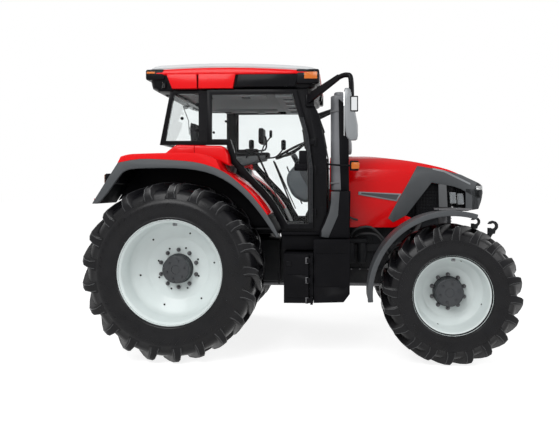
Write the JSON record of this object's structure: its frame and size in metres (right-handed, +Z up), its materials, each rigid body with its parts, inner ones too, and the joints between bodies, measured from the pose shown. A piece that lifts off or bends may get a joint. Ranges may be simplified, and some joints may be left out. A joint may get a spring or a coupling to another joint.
{
  "type": "farm tractor",
  "caption": "Four-wheel-drive farm tractor with glazed cab, tilting hood, steered front axle with fenders, rear three-point linkage and folding front linkage.",
  "frame": {"origin": "on the ground, under the centre of the bounding box", "axes": "+X forward, +Y to the tractor's left, +Z up"},
  "size_m": [4.3578, 2.45, 2.92],
  "materials": {
    "red": "gloss",
    "plastic": "grained",
    "black": "satin",
    "casting": "painted",
    "rim": "satin",
    "rubber": "matte",
    "glass": "tinted",
    "cap": "satin",
    "silver": "satin",
    "trim": "grained",
    "fabric": "woven"
  },
  "bodies": {
    "chassis": {"mirror_right": "plastic", "rear_fender_right": "red", "quarter_window_right": "glass", "mirror_left": "plastic", "rear_fender_left": "red", "quarter_window_left": "glass", "rear_axle": "casting", "transmission": "casting", "engine": "casting", "front_support": "casting", "front_axle": "casting", "rear_hitch": "casting", "front_linkage": "casting", "fuel_tank": "plastic", "toolbox": "plastic", "aftertreatment_cover": "plastic", "exhaust_stack": "silver", "cab_floor": "trim", "dashboard": "trim", "side_console": "trim", "cab_frame": "black", "seat_base": "black", "windscreen": "glass", "rear_window": "glass", "roof": "red", "roof_cap": "cap", "seat_cushion": "fabric", "seat_back": "fabric"},
    "rear_wheel_right": {"rear_tyre_right": "rubber", "rear_rim_right": "rim"},
    "front_wheel_right": {"front_tyre_right": "rubber", "front_rim_right": "rim"},
    "knuckle_right": {"front_knuckle_right": "casting", "front_fender_right": "plastic"},
    "door_right": {"door_right": "black", "door_glass_right": "glass"},
    "lower_link_right": {"lower_link_right": "casting"},
    "lift_rod_right": {"lift_rod_right": "casting"},
    "rear_wheel_left": {"rear_tyre_left": "rubber", "rear_rim_left": "rim"},
    "front_wheel_left": {"front_tyre_left": "rubber", "front_rim_left": "rim"},
    "knuckle_left": {"front_knuckle_left": "casting", "front_fender_left": "plastic"},
    "door_left": {"door_left": "black", "door_glass_left": "glass"},
    "lower_link_left": {"lower_link_left": "casting"},
    "lift_rod_left": {"lift_rod_left": "casting"},
    "tie_rod": {"tie_rod": "casting"},
    "steering_wheel": {"steering_wheel": "black"},
    "hood": {"hood": "red"},
    "toolbox_door": {"toolbox_door": "plastic"},
    "lift_arms": {"lift_arms": "casting"},
    "top_link": {"top_link": "casting"},
    "front_links": {"front_links": "casting"}
  },
  "joints": [
    {"name": "rear_wheel_right_spin", "type": "hinge", "parent": "chassis", "child": "rear_wheel_right", "pos_m": [-1.1311, -0.9, 0.86], "axis": [0, 1, 0], "continuous": true},
    {"name": "rear_wheel_left_spin", "type": "hinge", "parent": "chassis", "child": "rear_wheel_left", "pos_m": [-1.1311, 0.9, 0.86], "axis": [0, 1, 0], "continuous": true},
    {"name": "steer_right", "type": "hinge", "parent": "chassis", "child": "knuckle_right", "pos_m": [1.5189, -0.62, 0.66], "axis": [0, 0, 1], "range_deg": [-35, 35]},
    {"name": "front_wheel_right_spin", "type": "hinge", "parent": "knuckle_right", "child": "front_wheel_right", "pos_m": [1.5189, -0.9, 0.66], "axis": [0, 1, 0], "continuous": true},
    {"name": "steer_left", "type": "hinge", "parent": "chassis", "child": "knuckle_left", "pos_m": [1.5189, 0.62, 0.66], "axis": [0, 0, 1], "range_deg": [-35, 35]},
    {"name": "front_wheel_left_spin", "type": "hinge", "parent": "knuckle_left", "child": "front_wheel_left", "pos_m": [1.5189, 0.9, 0.66], "axis": [0, 1, 0], "continuous": true},
    {"name": "tie_rod_pin", "type": "hinge", "parent": "knuckle_right", "child": "tie_rod", "pos_m": [1.2889, -0.62, 0.573], "axis": [0, 0, 1], "range_deg": [-35, 35]},
    {"name": "steering_wheel_turn", "type": "hinge", "parent": "chassis", "child": "steering_wheel", "pos_m": [-0.0711, 0, 2.08], "axis": [-0.4695, 0, 0.8829], "continuous": true},
    {"name": "door_right_hinge", "type": "hinge", "parent": "chassis", "child": "door_right", "pos_m": [0.2309, -0.801, 1.84], "axis": [0, 0, 1], "range_deg": [0, 75]},
    {"name": "door_left_hinge", "type": "hinge", "parent": "chassis", "child": "door_left", "pos_m": [0.2309, 0.801, 1.84], "axis": [0, 0, -1], "range_deg": [0, 75]},
    {"name": "toolbox_door_hinge", "type": "hinge", "parent": "chassis", "child": "toolbox_door", "pos_m": [0.2019, -0.958, 0.77], "axis": [0, 0, 1], "range_deg": [0, 100]},
    {"name": "hood_hinge", "type": "hinge", "parent": "chassis", "child": "hood", "pos_m": [0.3839, 0, 1.95], "axis": [0, -1, 0], "range_deg": [0, 45]},
    {"name": "lift", "type": "hinge", "parent": "chassis", "child": "lift_arms", "pos_m": [-1.3461, 0, 1.15], "axis": [0, 1, 0], "range_deg": [-20, 25]},
    {"name": "lower_link_right_pivot", "type": "hinge", "parent": "chassis", "child": "lower_link_right", "pos_m": [-1.3461, -0.33, 0.6], "axis": [0, 1, 0], "range_deg": [-20, 25]},
    {"name": "lift_rod_right_pin", "type": "hinge", "parent": "lift_arms", "child": "lift_rod_right", "pos_m": [-1.7461, -0.364, 1.15], "axis": [0, 1, 0], "range_deg": [-25, 20]},
    {"name": "lower_link_left_pivot", "type": "hinge", "parent": "chassis", "child": "lower_link_left", "pos_m": [-1.3461, 0.33, 0.6], "axis": [0, 1, 0], "range_deg": [-20, 25]},
    {"name": "lift_rod_left_pin", "type": "hinge", "parent": "lift_arms", "child": "lift_rod_left", "pos_m": [-1.7461, 0.364, 1.15], "axis": [0, 1, 0], "range_deg": [-25, 20]},
    {"name": "top_link_pivot", "type": "hinge", "parent": "chassis", "child": "top_link", "pos_m": [-1.4261, 0, 0.9], "axis": [0, -1, 0], "range_deg": [0, 90]},
    {"name": "front_links_pivot", "type": "hinge", "parent": "chassis", "child": "front_links", "pos_m": [1.9439, 0, 0.72], "axis": [0, 1, 0], "range_deg": [0, 85]}
  ],
  "couplings": [
    {"joint": "steer_left", "follows": "steer_right", "ratio": 1},
    {"joint": "tie_rod_pin", "follows": "steer_right", "ratio": -1},
    {"joint": "lower_link_right_pivot", "follows": "lift", "ratio": 1},
    {"joint": "lift_rod_right_pin", "follows": "lift", "ratio": -1},
    {"joint": "lower_link_left_pivot", "follows": "lift", "ratio": 1},
    {"joint": "lift_rod_left_pin", "follows": "lift", "ratio": -1}
  ]
}
